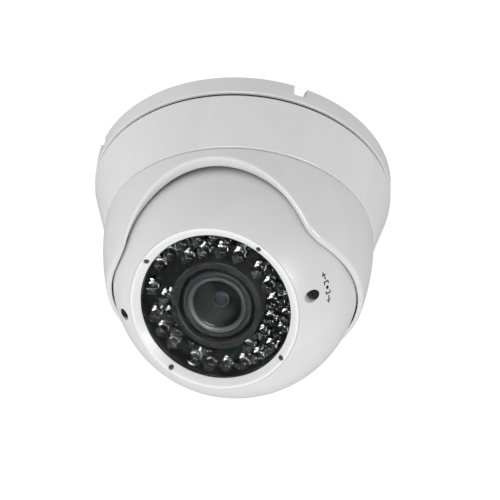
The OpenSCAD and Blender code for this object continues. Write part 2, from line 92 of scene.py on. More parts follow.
FINISHES: dict[str, Finish] = {
    "white_shell": Finish((0.80, 0.80, 0.80), 0.36, coat=0.15, grain=0.3, relief=0.003, mottle=0.012),
    "white_bezel": Finish((0.93, 0.93, 0.93), 0.38, coat=0.08, grain=0.3, relief=0.002, mottle=0.01),
    "black_rubber": Finish((0.018, 0.018, 0.019), 0.6, grain=0.2, relief=0.01),
    "hood_rubber": Finish((0.07, 0.07, 0.072), 0.5, grain=0.15, relief=0.006),
    "black_plastic": Finish((0.012, 0.012, 0.013), 0.42, grain=0.2, relief=0.008),
    "grey_plastic": Finish((0.03, 0.03, 0.032), 0.45, grain=0.2, relief=0.008),
    "acetal": Finish((0.68, 0.65, 0.57), 0.38, grain=0.3, relief=0.004),
    "steel": Finish((0.62, 0.62, 0.64), 0.3, metal=1.0, grain=0.1, relief=0.003, pattern=Pattern.BRUSHED),
    "black_steel": Finish((0.16, 0.16, 0.165), 0.35, metal=0.8, grain=0.1, relief=0.003),
    "spring_steel": Finish((0.4, 0.4, 0.42), 0.35, metal=1.0, grain=0.1, relief=0.003,
                           pattern=Pattern.BRUSHED),
    "anodised": Finish((0.11, 0.11, 0.115), 0.38, metal=0.35, grain=0.08, relief=0.003),
    "frame_alloy": Finish((0.6, 0.6, 0.63), 0.35, metal=1.0, grain=0.15, relief=0.004,
                          pattern=Pattern.BRUSHED),
    "brass": Finish((0.72, 0.6, 0.34), 0.28, metal=1.0, grain=0.15, relief=0.003, pattern=Pattern.BRUSHED),
    "window": Finish((0.97, 0.985, 0.98), 0.01, clear=1.0, ior=1.35, grain=40.0, relief=0.0, mottle=0.0),
    "optical_glass": Finish((0.87, 0.95, 0.93), 0.02, clear=1.0, ior=1.55, grain=9.0, relief=0.0,
                            mottle=0.02),
    "filter_glass": Finish((0.75, 0.35, 0.42), 0.03, clear=0.8, ior=1.5, grain=9.0, relief=0.0, mottle=0.02),
    "led_epoxy": Finish((0.93, 0.95, 0.97), 0.04, clear=1.0, ior=1.5, grain=1.5, relief=0.002, mottle=0.01),
    "led_cup": Finish((0.97, 0.97, 0.97), 0.17, metal=1.0, grain=0.4, relief=0.02, mottle=0.04),
    "led_lead": Finish((0.34, 0.34, 0.35), 0.22, metal=1.0, grain=0.2, relief=0.02, mottle=0.2),
    "led_die": Finish((0.10, 0.10, 0.12), 0.3, metal=0.3, grain=0.1, relief=0.002),
    "sensor_epoxy": Finish((0.015, 0.075, 0.065), 0.2, coat=0.6, grain=0.3, relief=0.01, mottle=0.2),
    "board_black": Finish((0.012, 0.012, 0.013), 0.45, grain=0.2, relief=0.006, pattern=Pattern.BOARD),
    "board_green": Finish((0.015, 0.11, 0.045), 0.35, grain=0.2, relief=0.006, pattern=Pattern.BOARD),
    "chip": Finish((0.025, 0.025, 0.027), 0.5, grain=0.12, relief=0.006),
    "sensor_die": Finish((0.06, 0.045, 0.1), 0.12, metal=0.5, coat=0.6, grain=0.2, relief=0.001),
    "connector": Finish((0.7, 0.68, 0.6), 0.4, grain=0.25, relief=0.006),
    "lens_well": Finish((0.085, 0.082, 0.080), 0.5, grain=4.0, relief=0.0),
    "lens_coat": Finish((0.21, 0.15, 0.21), 0.3, coat=0.4, grain=4.0, relief=0.0),
    # light satin grey for the lens rim, whose lopsided shape is a painted crescent reflection
    "painted_crescent_rim": Finish((0.62, 0.6, 0.62), 0.5, metal=0.5, grain=0.2, relief=0.002),
    "bright_anodised": Finish((0.24, 0.24, 0.245), 0.4, metal=0.3, grain=0.08, relief=0.003),
    "mark_ink": Finish((0.02, 0.02, 0.022), 0.45, grain=0.1, relief=0.004),
    "floor": Finish((0.86, 0.86, 0.86), 0.7, grain=8.0, relief=0.02, mottle=0.01),
}


class Shader:
    """Builds one procedural material out of a finish."""

    def __init__(self, name: str, finish: Finish) -> None:
        """Starts an empty node tree.

        Args:
            name: Name of the material.
            finish: The finish it draws.
        """
        self.finish = finish
        self.material = bpy.data.materials.new(name)
        self.material.use_nodes = True
        self.tree = self.material.node_tree
        self.shader = self.tree.nodes["Principled BSDF"]
        self.coords = self.tree.nodes.new("ShaderNodeTexCoord").outputs["Object"]

    def noise(self, size_mm: float, detail: float) -> bpy.types.NodeSocket:
        """Adds a noise texture.

        Args:
            size_mm: Size of one blotch in millimetres.
            detail: Octaves of finer noise.

        Returns:
            The noise value.
        """
        node = self.tree.nodes.new("ShaderNodeTexNoise")
        node.inputs["Scale"].default_value = 1000.0 / size_mm
        node.inputs["Detail"].default_value = detail
        self.tree.links.new(self.coords, node.inputs["Vector"])
        return node.outputs["Fac"]

    def spread(self, value: bpy.types.NodeSocket, low: float, high: float) -> bpy.types.NodeSocket:
        """Maps the middle of a 0..1 value to low..high.

        Args:
            value: The value.
            low: Result at 0.3.
            high: Result at 0.7.

        Returns:
            The mapped value.
        """
        node = self.tree.nodes.new("ShaderNodeMapRange")
        for socket, number in zip(node.inputs[1:5], (0.3, 0.7, low, high)):
            socket.default_value = number
        self.tree.links.new(value, node.inputs[0])
        return node.outputs[0]

    def blend(self, share: bpy.types.NodeSocket, low: Sequence[float],
              high: Sequence[float]) -> bpy.types.NodeSocket:
        """Mixes two colours.

        Args:
            share: 0 for low, 1 for high.
            low: First colour.
            high: Second colour.

        Returns:
            The mixed colour.
        """
        node = self.tree.nodes.new("ShaderNodeMix")
        node.data_type = "RGBA"
        node.inputs[6].default_value = (*low, 1.0)
        node.inputs[7].default_value = (*high, 1.0)
        self.tree.links.new(share, node.inputs[0])
        return node.outputs[2]

    def build(self) -> bpy.types.Material:
        """Wires the whole finish.

        Returns:
            The finished material.
        """
        f, put = self.finish, self.shader.inputs
        put["Metallic"].default_value = f.metal
        put["Transmission Weight"].default_value = f.clear
        put["IOR"].default_value = f.ior
        put["Coat Weight"].default_value = f.coat
        put["Coat Roughness"].default_value = 0.12
        put["Base Color"].default_value = (*f.colour, 1.0)
        put["Roughness"].default_value = f.rough
        link = self.tree.links.new
        if f.clear < 0.5:
            link(self.spread(self.noise(6.0, 3.0), f.rough * 0.88, min(1.0, f.rough * 1.14)), put["Roughness"])
        if f.mottle > 0:
            dark = [c * (1 - f.mottle) for c in f.colour]
            light = [min(1.0, c * (1 + f.mottle)) for c in f.colour]
            link(self.blend(self.spread(self.noise(11.0, 4.0), 0.0, 1.0), dark, light), put["Base Color"])
        if f.pattern is Pattern.BOARD:
            copper = [min(1.0, c * 2.6 + 0.01) for c in f.colour]
            wave = self.tree.nodes.new("ShaderNodeTexVoronoi")
            wave.feature, wave.distance = "F1", "MANHATTAN"
            wave.inputs["Scale"].default_value = 420.0
            link(self.coords, wave.inputs["Vector"])
            tracks = self.spread(wave.outputs["Distance"], 0.0, 1.0)
            link(self.blend(tracks, copper, f.colour), put["Base Color"])
        if f.pattern is Pattern.BRUSHED:
            link(self.spread(self.noise(0.8, 6.0), f.rough * 0.7, f.rough * 1.5), put["Roughness"])
        if f.relief > 0:
            bump = self.tree.nodes.new("ShaderNodeBump")
            bump.inputs["Distance"].default_value = f.relief * MM
            bump.inputs["Strength"].default_value = 1.0
            link(self.noise(f.grain, 2.0), bump.inputs["Height"])
            link(bump.outputs["Normal"], put["Normal"])
        return self.material


class Palette:
    """Makes each finish's material once."""

    def __init__(self) -> None:
        """Starts with no materials."""
        self.made: dict[str, bpy.types.Material] = {}

    def get(self, name: str) -> bpy.types.Material:
        """Looks a material up, and builds it on first use.

        Args:
            name: Key of FINISHES.

        Returns:
            The material.
        """
        if name not in self.made:
            self.made[name] = Shader(name, FINISHES[name]).build()
        return self.made[name]


PALETTE = Palette()


# ---- meshes ---------------------------------------------------------------------------------


@dataclass(frozen=True)
class Surface:
    """Points in millimetres and the faces that join them."""

    points: Array
    faces: tuple[Array, ...]

    def moved(self, matrix: Array) -> "Surface":
        """Carries the points through a 4x4 matrix.

        Args:
            matrix: The matrix, in millimetres.

        Returns:
            The moved surface.
        """
        return Surface(self.points @ matrix[:3, :3].T + matrix[:3, 3], self.faces)


def joined(parts: Sequence[Surface]) -> Surface:
    """Puts surfaces into one.

    Args:
        parts: The surfaces.

    Returns:
        One surface with all their points and faces.
    """
    starts = np.cumsum([0] + [len(p.points) for p in parts])
    faces = tuple(f + start for p, start in zip(parts, starts) for f in p.faces)
    return Surface(np.vstack([p.points for p in parts]), faces)


def lattice(rows: int, columns: int, loop_rows: bool) -> Array:
    """Quads of a grid whose columns wrap round.

    Args:
        rows: Points along a column.
        columns: Number of columns.
        loop_rows: Whether the last row joins the first.

    Returns:
        Four indices a quad, for points stored row by row.
    """
    last = rows if loop_rows else rows - 1
    i, j = np.meshgrid(np.arange(last), np.arange(columns), indexing="ij")
    i2, j2 = (i + 1) % rows, (j + 1) % columns
    quads = np.stack([i * columns + j, i * columns + j2, i2 * columns + j2, i2 * columns + j], -1)
    return quads.reshape(-1, 4)


def rounded(corners: Sequence[tuple[float, float, float]], steps: int = 5) -> Array:
    """Fillets the corners of a closed outline.

    Each corner is replaced by the arc of its radius that touches both its edges: the arc starts and
    ends at radius / tan(half the corner's angle) from the corner, and its centre is on the bisector.

    Args:
        corners: Corner points, each with its fillet radius, in order.
        steps: Points on a quarter of a turn.

    Returns:
        The outline's points.
    """
    data = np.asarray(corners, float)
    points, radii = data[:, :2], data[:, 2]
    out: list[Array] = []
    for k, (p, radius) in enumerate(zip(points, radii)):
        back, ahead = points[k - 1] - p, points[(k + 1) % len(points)] - p
        back, ahead = back / np.linalg.norm(back), ahead / np.linalg.norm(ahead)
        half = math.acos(float(np.clip(back @ ahead, -1, 1))) / 2
        if radius <= 0 or abs(half - math.pi / 2) < 0.01:
            out.append(p[None])
            continue
        reach = radius / math.tan(half)
        middle = (back + ahead) / np.linalg.norm(back + ahead)
        centre = p + middle * radius / math.sin(half)
        a, b = p + back * reach - centre, p + ahead * reach - centre
        turn = math.pi - 2 * half
        t = np.linspace(0, 1, max(3, int(steps * turn / 1.57) + 2))[:, None]
        arc = (np.sin((1 - t) * turn) * a + np.sin(t * turn) * b) / math.sin(turn)
        out.append(centre + arc)
    return np.vstack(out)


def revolve(outline: Array, segments: int = 192) -> Surface:
    """Turns an outline of radius and height about the Z axis, closed at the axis or onto itself.

    A point of the outline at radius r and height z goes to (r cos t, r sin t, z) for each turn t.

    Args:
        outline: Radius and height of each point.
        segments: Copies round the axis.

    Returns:
        The closed surface.
    """
    t = 2 * math.pi * np.arange(segments) / segments
    r, z = outline[:, :1], outline[:, 1:]
    points = np.stack([r * np.cos(t), r * np.sin(t), z + 0 * t], -1).reshape(-1, 3)
    on_axis = outline[0, 0] < 1e-9 and outline[-1, 0] < 1e-9
    return Surface(points, (lattice(len(outline), segments, not on_axis),))


def block(low: Sequence[float], high: Sequence[float]) -> Surface:
    """A box between two corners.

    Args:
        low: Lowest corner.
        high: Highest corner.

    Returns:
        The box.
    """
    corners = np.array([(x, y, z) for x in (0, 1) for y in (0, 1) for z in (0, 1)], float)
    points = np.asarray(low) + corners * (np.asarray(high) - np.asarray(low))
    faces = [(0, 1, 3, 2), (4, 6, 7, 5), (0, 4, 5, 1), (2, 3, 7, 6), (0, 2, 6, 4), (1, 5, 7, 3)]
    return Surface(points, (np.array(faces),))


def rod(radius: float, z0: float, z1: float, segments: int = 48) -> Surface:
    """A cylinder on the Z axis.

    Args:
        radius: Its radius.
        z0: Lower end.
        z1: Upper end.
        segments: Sides.

    Returns:
        The closed cylinder.
    """
    return revolve(np.array([(0, z0), (radius, z0), (radius, z1), (0, z1)], float), segments)


def turned(angle_deg: float, at: Sequence[float] = (0, 0, 0)) -> Array:
    """A turn about Z after a move.

    Args:
        angle_deg: The turn in degrees.
        at: The move, made before the turn.

    Returns:
        The 4x4 matrix.
    """
    return np.array(Matrix.Rotation(math.radians(angle_deg), 4, "Z") @ Matrix.Translation(at))


def on_circle(part: Surface, radius: float, turns: Sequence[float]) -> list[Surface]:
    """Copies of a part on a circle.

    Args:
        part: The part, standing on the origin.
        radius: Radius of the circle.
        turns: Where the copies go, in degrees.

    Returns:
        The copies.
    """
    return [part.moved(turned(turn, (radius, 0, 0))) for turn in turns]


def raw_mesh(name: str, surface: Surface) -> bpy.types.Mesh:
    """Makes a welded mesh with its faces outward.

    Args:
        name: Name of the mesh.
        surface: The surface in millimetres.

    Returns:
        The mesh in metres.
    """
    mesh = bpy.data.meshes.new(name)
    faces = [row for block_ in surface.faces for row in block_.tolist()]
    mesh.from_pydata((surface.points * MM).tolist(), [], faces)
    work = bmesh.new()
    work.from_mesh(mesh)
    bmesh.ops.remove_doubles(work, verts=work.verts, dist=2e-7)
    bmesh.ops.dissolve_degenerate(work, edges=work.edges, dist=1e-7)
    bmesh.ops.recalc_face_normals(work, faces=work.faces)
    work.to_mesh(mesh)
    work.free()
    return mesh


def combined(name: str, target: bpy.types.Mesh, cutter: Surface, how: str) -> bpy.types.Mesh:
    """Cuts a surface out of a mesh, or adds it.

    Args:
        name: Name of the new mesh.
        target: The mesh.
        cutter: The surface in millimetres.
        how: DIFFERENCE or UNION.

    Returns:
        The new mesh.
    """
    body = bpy.data.objects.new(name + "_work", target)
    tool = bpy.data.objects.new(name + "_tool", raw_mesh(name + "_tool", cutter))
    for o in (body, tool):
        bpy.context.scene.collection.objects.link(o)
    step = body.modifiers.new("cut", "BOOLEAN")
    step.operation, step.object, step.solver = how, tool, "EXACT"
    graph = bpy.context.evaluated_depsgraph_get()
    mesh = bpy.data.meshes.new_from_object(body.evaluated_get(graph))
    for o in (body, tool):
        bpy.data.objects.remove(o)
    mesh.name = name
    return mesh


@dataclass
class Piece:
    """One shown piece of the camera."""

    name: str
    body: str
    finish: str
    slot: str
    stands_for: tuple[str, ...] = ()
    sharp_deg: float = 38.0

    def show(self, mesh: bpy.types.Mesh) -> bpy.types.Object:
        """Adds the piece to the scene.

        Args:
            mesh: Its mesh.

        Returns:
            The object.
        """
        mesh.materials.clear()
        mesh.materials.append(PALETTE.get(self.finish))
        mesh.shade_smooth()
        mesh.set_sharp_from_angle(angle=math.radians(self.sharp_deg))
        piece = bpy.data.objects.new(self.name, mesh)
        bpy.context.scene.collection.objects.link(piece)
        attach(piece, self.body)
        if self.stands_for:
            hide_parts(*self.stands_for)
        LOG.info("%s: %d faces", self.name, len(mesh.polygons))
        return piece


def clean_normals(mesh: bpy.types.Mesh, centre: Array, radius: float, sharp_deg: float = 38.0) -> None:
    """Gives the faces that lie on a sphere the sphere's own normals.

    A face corner takes the direction from the sphere's centre when all of its face lies within
    0.01 mm of the sphere, and keeps the mesh's normal otherwise.

    Args:
        mesh: The mesh, in metres.
        centre: Centre of the sphere in millimetres.
        radius: Its radius in millimetres.
        sharp_deg: Angle above which an edge stays sharp.
    """
    mesh.shade_smooth()
    mesh.set_sharp_from_angle(angle=math.radians(sharp_deg))
    normals = np.zeros(len(mesh.loops) * 3, np.float32)
    mesh.corner_normals.foreach_get("vector", normals)
    normals = normals.reshape(-1, 3)
    points = np.zeros(len(mesh.vertices) * 3, np.float32)
    mesh.vertices.foreach_get("co", points)
    out = points.reshape(-1, 3) / MM - centre
    reach = np.linalg.norm(out, axis=1)
    on = np.abs(reach - radius) < 0.01
    vertex = np.zeros(len(mesh.loops), np.int32)
    mesh.loops.foreach_get("vertex_index", vertex)
    start = np.zeros(len(mesh.polygons), np.int32)
    mesh.polygons.foreach_get("loop_start", start)
    whole = np.minimum.reduceat(on[vertex].astype(np.int8), start).astype(bool)
    total = np.zeros(len(mesh.polygons), np.int32)
    mesh.polygons.foreach_get("loop_total", total)
    pick = np.repeat(whole, total)
    normals[pick] = (out / reach[:, None])[vertex[pick]]
    mesh.normals_split_custom_set(normals.tolist())


# ---- the camera's own axes --------------------------------------------------------------------

DROP, AIM, CLOCK = 47.5, 31.0, -4.7
BALL_R, INNER_R, SEAM_N = 48.0, 45.0, -2.4


def ball_axes(clocked: bool = True) -> Array:
    """Takes points of the ball's axes, Z along the lens, into the row frame.

    Args:
        clocked: Whether the window's own turn about the lens axis is added.

    Returns:
        The 4x4 matrix in millimetres.
    """
    tilt = Matrix.Translation((0, 0, -DROP)) @ Matrix.Rotation(math.radians(180 - AIM), 4, "X")
    return np.array(tilt @ Matrix.Rotation(math.radians(CLOCK if clocked else 0.0), 4, "Z"))


def in_ball(piece: Piece, outline: Array, segments: int = 160, clocked: bool = True) -> bpy.types.Object:
    """Shows a turned part about the lens axis.

    Args:
        piece: The piece.
        outline: Its closed outline.
        segments: Copies round the axis.
        clocked: Whether it turns with the window.

    Returns:
        The object.
    """
    return piece.show(raw_mesh(piece.name, revolve(outline, segments).moved(ball_axes(clocked))))


@dataclass
class CeilingBase:
    """The mounting base and the tapered housing below it."""

    rim_r: float = 60.0
    band_h: float = 8.0
    notch_w: float = 5.2
    notch_h: float = 4.8
    gland_turn: float = 132.0
    gland_r: float = 38.0

    def build(self) -> None:
        """Adds the base and the housing."""
        self.base()
        self.housing()

    def base(self) -> None:
        """Adds the mounting base with its notches, screw holes and gland pocket."""
        floor, spigot = -2.8, 53.8
        outline = rounded([
            (0, 0, 0), (22, 0, 0.15), (22, -0.8, 0), (36, -0.8, 0), (36, 0, 0.15), (57.4, 0, 0.1),
            (57.4, -0.8, 0), (59, -0.8, 0), (59, 0, 0.1), (self.rim_r, 0, 0.45),
            (self.rim_r, -self.band_h, 0.55), (55.8, -self.band_h, 0.1), (55.8, -14.5, 0.2),
            (spigot, -14.5, 0.2), (spigot, floor, 0.3), (0, floor, 0)])
        mesh = raw_mesh("base", revolve(outline, 240))
        boss = rod(11.4, -6.8, -2.7, 64).moved(turned(self.gland_turn, (self.gland_r, 0, 0)))
        mesh = combined("base", mesh, boss, "UNION")
        trough = block((self.gland_r, -4.2, -6.8), (55, 4.2, -2.6)).moved(turned(self.gland_turn))
        mesh = combined("base", mesh, trough, "UNION")
        slot = block((50.8, -self.notch_w / 2, -self.notch_h), (64, self.notch_w / 2, 1))
        slots = [slot.moved(turned(t - 90)) for t in (42, 132, 312)]
        channel = block((self.gland_r, -self.notch_w / 2, -self.notch_h), (68, self.notch_w / 2, 1))
        tools = slots + on_circle(rod(2.3, -12, 1), 42, (90, 210, 330))
        mesh = combined("base", mesh, joined(tools), "DIFFERENCE")
        mesh = combined("base", mesh, channel.moved(turned(self.gland_turn)), "DIFFERENCE")
        pocket = rod(9.8, -4, 1, 72).moved(turned(self.gland_turn, (self.gland_r, 0, 0)))
        mesh = combined("base", mesh, pocket, "DIFFERENCE")
        through = rod(6.05, -12, -3, 48).moved(turned(self.gland_turn, (self.gland_r, 0, 0)))
        mesh = combined("mounting_base_skin", mesh, through, "DIFFERENCE")
        Piece("mounting_base_skin", "base", "white_shell", "white_shell", ("mounting_base",), 30).show(mesh)

    def housing(self) -> None:
        """Adds the tapered housing with the hole of its lock screw."""
        outline = rounded([
            (51.7, -29.9, 0.3), (53.3, -29.9, 0.75), (59.7, -9.6, 0.5), (59.2, -9.2, 0.1), (57, -9.2, 0.1),
            (56.2, -13.2, 0), (56.1, -17, 0), (54.8, -17.4, 0), (54.8, -20.2, 0), (51.7, -20.2, 0.1)], 8)
        mesh = raw_mesh("housing", revolve(outline, 240))
        tool = rod(1.5, 50, 66, 40).moved(
            np.array(Matrix.Translation((0, 0, -12.2)) @ Matrix.Rotation(math.radians(-90), 4, "X")))
        mesh = combined("housing_skin", mesh, tool, "DIFFERENCE")
        Piece("housing_skin", "base", "white_shell", "white_shell", ("housing",), 30).show(mesh)


@dataclass
class PanShroud:
    """The turning shroud with its scooped front."""

    top_z: float = -30.2
    top_r: float = 53.2
    arc_r: float = 103.0
    skirt: float = 12.0
    socket_r: float = 48.6
    turn_deg: float = 8.0
    lip_round: float = 1.5

    def outer(self, z: Array) -> Array:
        """Radius of the outside: an arc that starts upright at the top.

        Args:
            z: Height above the ball centre.

        Returns:
            The radius.
        """
        down = z - DROP - self.top_z
        return self.top_r - self.arc_r + np.sqrt(self.arc_r**2 - down**2)

    def inner(self, z: Array) -> Array:
        """Radius of the socket: a sphere below the ball centre, straight above it.

        Args:
            z: Height above the ball centre.

        Returns:
            The radius.
        """
        return np.sqrt(self.socket_r**2 - np.minimum(z, 0) ** 2)

    def edge(self) -> tuple[Array, Array]:
        """Half of the scoop's outline, from its crown to the foot of the skirt.

        One 39.4 mm arc makes the arch, and a 6.9 mm heel that touches it lands it on the skirt.

        Returns:
            Distance from the middle and height above the ball centre.
        """
        arch_r, heel_r, arch_z = 39.4, 6.9, 12.5 - 39.4
        heel_z = heel_r - self.skirt
        heel_x = math.sqrt((arch_r + heel_r) ** 2 - (heel_z - arch_z) ** 2)
        touch = math.atan2(heel_z - arch_z, heel_x)
        arc = np.linspace(math.pi / 2, touch, 76)
        heel = np.linspace(math.pi + touch, 1.5 * math.pi, 24)[1:]
        x = np.concatenate([arch_r * np.cos(arc), heel_x + heel_r * np.cos(heel)])
        z = np.concatenate([arch_z + arch_r * np.sin(arc), heel_z + heel_r * np.sin(heel)])
        x[0] = 0.0
        return x, z

    def surface(self) -> Surface:
        """The whole shroud as one closed grid.

        Each column keeps one turn about the pan axis outside and one inside. Outside, the radius is
        drawn in by a - sqrt(a^2 - (a - d)^2) where d is the distance to the lip's edge and a is the
        lip's rounding, so the lip's outer edge is a quarter round.

        Returns:
            The closed surface in the row frame.
        """
        x, z = self.edge()
        low = -self.skirt
        out_turn, in_turn = np.arcsin(x / self.outer(z)), np.arcsin(x / self.inner(z))
        back = np.linspace(0, 1, 90)[1:]
        out_turn = np.concatenate([out_turn, out_turn[-1] + (math.pi - out_turn[-1]) * back])
        in_turn = np.concatenate([in_turn, in_turn[-1] + (math.pi - in_turn[-1]) * back])
        lip = np.concatenate([z, np.full(len(back), low)])
        out_turn = np.concatenate([out_turn, -out_turn[-2:0:-1]])
        in_turn = np.concatenate([in_turn, -in_turn[-2:0:-1]])
        lip = np.concatenate([lip, lip[-2:0:-1]])
        a, crown = self.lip_round, self.top_z + DROP
        near = a * (1 - np.cos(np.linspace(0, math.pi / 2, 10)))
        far = np.linspace(0, 1, 30)[1:]
        rows: list[tuple[Array, Array, Array]] = []
        edge_u, edge_z = 51.0 * out_turn, lip
        for height in near:
            level = lip + height
            gap = self.gap(51.0 * out_turn, level, edge_u, edge_z)
            inset = a - np.sqrt(np.maximum(a**2 - np.maximum(a - gap, 0) ** 2, 0))
            rows.append((out_turn, self.outer(level) - inset, level))
        start = lip + near[-1]
        for share in far:
            level = start + (crown - 0.6 - start) * share
            gap = self.gap(51.0 * out_turn, level, edge_u, edge_z)
            inset = a - np.sqrt(np.maximum(a**2 - np.maximum(a - gap, 0) ** 2, 0))
            rows.append((out_turn, self.outer(level) - inset, level))
        flat = np.ones_like(lip)
        for angle in np.radians(np.linspace(15, 90, 6)):
            rows.append((out_turn, flat * (self.top_r - 0.6 * (1 - np.cos(angle))),
                         flat * (crown - 0.6 + 0.6 * np.sin(angle))))
        for r, level in ((51.4, self.top_z), (51.4, -19.65), (54.4, -19.65), (54.4, -17.65)):
            rows.append((out_turn, flat * r, flat * (level + DROP)))
        for share in np.linspace(0, 1, 26):
            level = (-17.65 + DROP) * (1 - share) + (lip + 0.25) * share
            rows.append((in_turn, self.inner(level), level))
        rows.append((in_turn, self.inner(lip) + 0.25, lip))
        outer_end = self.outer(lip) - a
        for share in (0.33, 0.67):
            inner_row = (in_turn, self.inner(lip) + 0.25, lip)
            rows.append(self.between(inner_row, (out_turn, outer_end, lip), share))
        turn = np.array([r[0] for r in rows]) + math.radians(self.turn_deg)
        radius, level = np.array([r[1] for r in rows]), np.array([r[2] for r in rows])
        points = np.stack([radius * np.sin(turn), -radius * np.cos(turn), level - DROP], -1).reshape(-1, 3)
        return Surface(points, (lattice(len(rows), len(lip), True),))

    def between(self, a: tuple[Array, Array, Array], b: tuple[Array, Array, Array],
                share: float) -> tuple[Array, Array, Array]:
        """A row on the straight line between two rows.

        Args:
            a: Turn, radius and height at share 0.
            b: The same at share 1.
            share: How far along.

        Returns:
            Turn, radius and height of the row.
        """
        ends = [(r * np.sin(t), r * np.cos(t), z) for t, r, z in (a, b)]
        x, y, z = ((1 - share) * p + share * q for p, q in zip(*ends))
        turn = np.unwrap(np.arctan2(x, y))
        return turn, np.hypot(x, y), z

    def gap(self, u: Array, z: Array, edge_u: Array, edge_z: Array) -> Array:
        """Distance on the unrolled outside from points to the lip's edge.

        Args:
            u: Way round, in millimetres.
            z: Height.
            edge_u: Way round of the edge's points.
            edge_z: Their heights.

        Returns:
            The distance of each point.
        """
        ax, az = edge_u, edge_z
        bx, bz = np.roll(edge_u, -1), np.roll(edge_z, -1)
        keep = np.abs(bx - ax) < 20
        ax, az, bx, bz = ax[keep], az[keep], bx[keep], bz[keep]
        dx, dz = bx - ax, bz - az
        t = ((u[:, None] - ax) * dx + (z[:, None] - az) * dz) / (dx * dx + dz * dz + 1e-12)
        t = np.clip(t, 0, 1)
        return np.sqrt(((u[:, None] - ax - t * dx) ** 2 + (z[:, None] - az - t * dz) ** 2).min(1))

    def build(self) -> None:
        """Adds the shroud."""
        piece = Piece("pan_shroud_skin", "turret", "white_shell", "white_shell", ("pan_shroud",), 48)
        piece.show(raw_mesh(piece.name, self.surface()))


@dataclass
class TiltBall:
    """The ball's two shells."""

    trim: float = 43.8
    wall: float = 3.0
    spindle_x: float = 36.4
    hole_r: float = 2.25
    bezel_r: float = 32.05

    def flattened(self, points: Array, trim: float) -> Array:
        """Holds points inside the flat band that passes under the base.

        In the plane across the tilt pins, a point further than trim along any direction between 5
        and 65 degrees from the back of the lens axis is drawn in until it is at trim.

        Args:
            points: Points in the ball's axes.
            trim: Distance of the band from the centre.

        Returns:
            The points.
        """
        y, n = points[:, 1], points[:, 2]
        angle = np.degrees(np.arctan2(y, -n))
        off = np.radians(np.maximum(np.maximum(5 - angle, angle - 65), 0))
        reach = np.where(off < math.pi / 2, np.hypot(y, n) * np.cos(off), 0)
        pull = np.where(reach > trim, trim / np.maximum(reach, 1e-9), 1.0)
        return np.stack([points[:, 0], y * pull, n * pull], -1)

    def shell(self, outline: Array, segments: int) -> Surface:
        """A turned shell with the flat band pressed into it.

        Args:
            outline: Closed outline in the ball's axes.
            segments: Copies round the axis.

        Returns:
            The shell in the ball's unclocked axes.
        """
        skin = revolve(outline, segments)
        reach = np.linalg.norm(skin.points, axis=1)
        outer = self.flattened(skin.points, self.trim)
        inner = self.flattened(skin.points, self.trim - self.wall)
        return Surface(np.where((reach > 46.5)[:, None], outer, inner), skin.faces)

    def arc(self, r: float, start_deg: float, end_deg: float, steps: int) -> Array:
        """Points on an arc about the ball centre.

        Args:
            r: Radius.
            start_deg: Start, from the lens axis.
            end_deg: End.
            steps: Number of points.

        Returns:
            Radius and height of each.
        """
        t = np.radians(np.linspace(start_deg, end_deg, steps))
        return np.stack([r * np.sin(t), r * np.cos(t)], -1)

    def build(self) -> None:
        """Adds both shells."""
        axes = ball_axes(False)
        brim = math.degrees(math.asin((self.bezel_r + 0.35) / BALL_R))
        seam = math.degrees(math.acos(SEAM_N / BALL_R))
        seam_in = math.degrees(math.acos(SEAM_N / INNER_R))
        foot = math.degrees(math.asin(37.0 / INNER_R))
        edge_n = BALL_R * math.cos(math.radians(brim))
        rim = np.array([(self.bezel_r + 0.1, edge_n - 0.02), (self.bezel_r, edge_n - 0.2),
                        (self.bezel_r, 33.2),
                        (29.3, 33.2), (29.3, 31.1), (28.2, 31.1), (28.2, 26.5), (35.0, 26.5)])
        front = np.vstack([self.arc(INNER_R, seam_in, foot, 40), rim[::-1],
                           self.arc(BALL_R, brim, seam - 0.2, 150),
                           [(BALL_R - 0.06, SEAM_N + 0.05), (BALL_R - 0.25, SEAM_N)]])
        mesh = raw_mesh("front", self.shell(front, 320).moved(axes))
        clocked = ball_axes()
        bores = joined(on_circle(rod(self.hole_r, 20, 60, 56), self.spindle_x, (0, 180))).moved(clocked)
        mesh = combined("ball_front_skin", mesh, bores, "DIFFERENCE")
        centre = np.array([0, 0, -DROP])
        clean_normals(mesh, centre, BALL_R)
        self.show_shell("ball_front_skin", "ball_front_shell", mesh)
        low = SEAM_N - 0.6
        seam2, seam2_in = (math.degrees(math.acos(low / r)) for r in (BALL_R, INNER_R))
        rear = np.vstack([[(BALL_R - 0.25, low), (BALL_R - 0.06, low - 0.05)],
                          self.arc(BALL_R, seam2 + 0.2, 180, 120),
                          self.arc(INNER_R, 180, seam2_in, 60)])
        mesh = raw_mesh("rear", self.shell(rear, 240).moved(axes))
        wells = joined([*on_circle(rod(2.6, -60, -17, 40), 40.5, (40, 140, 220, 320)), rod(5, -60, -30, 48)])
        mesh = combined("ball_rear_skin", mesh, wells.moved(clocked), "DIFFERENCE")
        clean_normals(mesh, centre, BALL_R)
        self.show_shell("ball_rear_skin", "ball_rear_shell", mesh)

    def show_shell(self, name: str, node: str, mesh: bpy.types.Mesh) -> None:
        """Shows a shell with the normals it already has.

        Args:
            name: Name of the piece.
            node: CAD node it stands for.
            mesh: The mesh.
        """
        mesh.materials.clear()
        mesh.materials.append(PALETTE.get("white_shell"))
        piece = bpy.data.objects.new(name, mesh)
        bpy.context.scene.collection.objects.link(piece)
        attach(piece, "ball")
        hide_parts(node)


